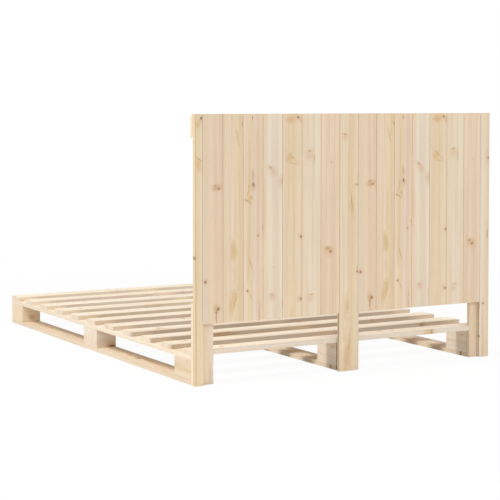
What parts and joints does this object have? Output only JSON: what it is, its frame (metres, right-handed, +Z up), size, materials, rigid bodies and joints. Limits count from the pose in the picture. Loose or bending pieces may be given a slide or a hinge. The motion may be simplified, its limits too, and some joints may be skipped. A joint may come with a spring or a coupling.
{
  "type": "bed frame",
  "caption": "Low pallet-style bed frame in raw pine: slats on block-and-board rows, with a tall headboard of upright boards whose outer strips and centre board reach the floor.",
  "frame": {"origin": "on the floor, at the centre of the bounding box's bottom face", "axes": "+Z up; +Y along the bed towards the headboard; +X to the right for someone standing at the foot and looking at the headboard"},
  "size_m": [1.4, 1.934, 1.03],
  "materials": {
    "pine_headboard": "planed, unfinished pine, matte",
    "pine_deck": "planed, unfinished pine, matte",
    "pine_block": "sawn, unfinished pine, matte",
    "screw_steel": "yellow zinc plating, satin",
    "bracket_steel": "zinc plating, satin"
  },
  "bodies": {
    "root": {"angle_brackets": "bracket_steel", "block_centre_foot": "pine_block", "block_centre_head": "pine_block", "block_centre_middle": "pine_block", "block_left_foot": "pine_block", "block_left_head": "pine_block", "block_left_middle": "pine_block", "block_right_foot": "pine_block", "block_right_head": "pine_block", "block_right_middle": "pine_block", "block_screws": "screw_steel", "bottom_board_centre": "pine_deck", "bottom_board_left": "pine_deck", "bottom_board_right": "pine_deck", "bracket_screws": "screw_steel", "centre_board": "pine_headboard", "corner_post_left": "pine_headboard", "corner_post_right": "pine_headboard", "headboard_lower_rail": "pine_headboard", "headboard_middle_rail": "pine_headboard", "headboard_screws": "screw_steel", "headboard_top_rail": "pine_headboard", "panel_board_left_1": "pine_headboard", "panel_board_left_2": "pine_headboard", "panel_board_left_3": "pine_headboard", "panel_board_left_4": "pine_headboard", "panel_board_left_5": "pine_headboard", "panel_board_left_6": "pine_headboard", "panel_board_left_7": "pine_headboard", "panel_board_right_1": "pine_headboard", "panel_board_right_2": "pine_headboard", "panel_board_right_3": "pine_headboard", "panel_board_right_4": "pine_headboard", "panel_board_right_5": "pine_headboard", "panel_board_right_6": "pine_headboard", "panel_board_right_7": "pine_headboard", "rail_centre": "pine_deck", "rail_left": "pine_deck", "rail_right": "pine_deck", "side_strip_left": "pine_headboard", "side_strip_right": "pine_headboard", "slat_01": "pine_deck", "slat_02": "pine_deck", "slat_03": "pine_deck", "slat_04": "pine_deck", "slat_05": "pine_deck", "slat_06": "pine_deck", "slat_07": "pine_deck", "slat_08": "pine_deck", "slat_09": "pine_deck", "slat_10": "pine_deck", "slat_11": "pine_deck", "slat_screws": "screw_steel"}
  },
  "joints": []
}
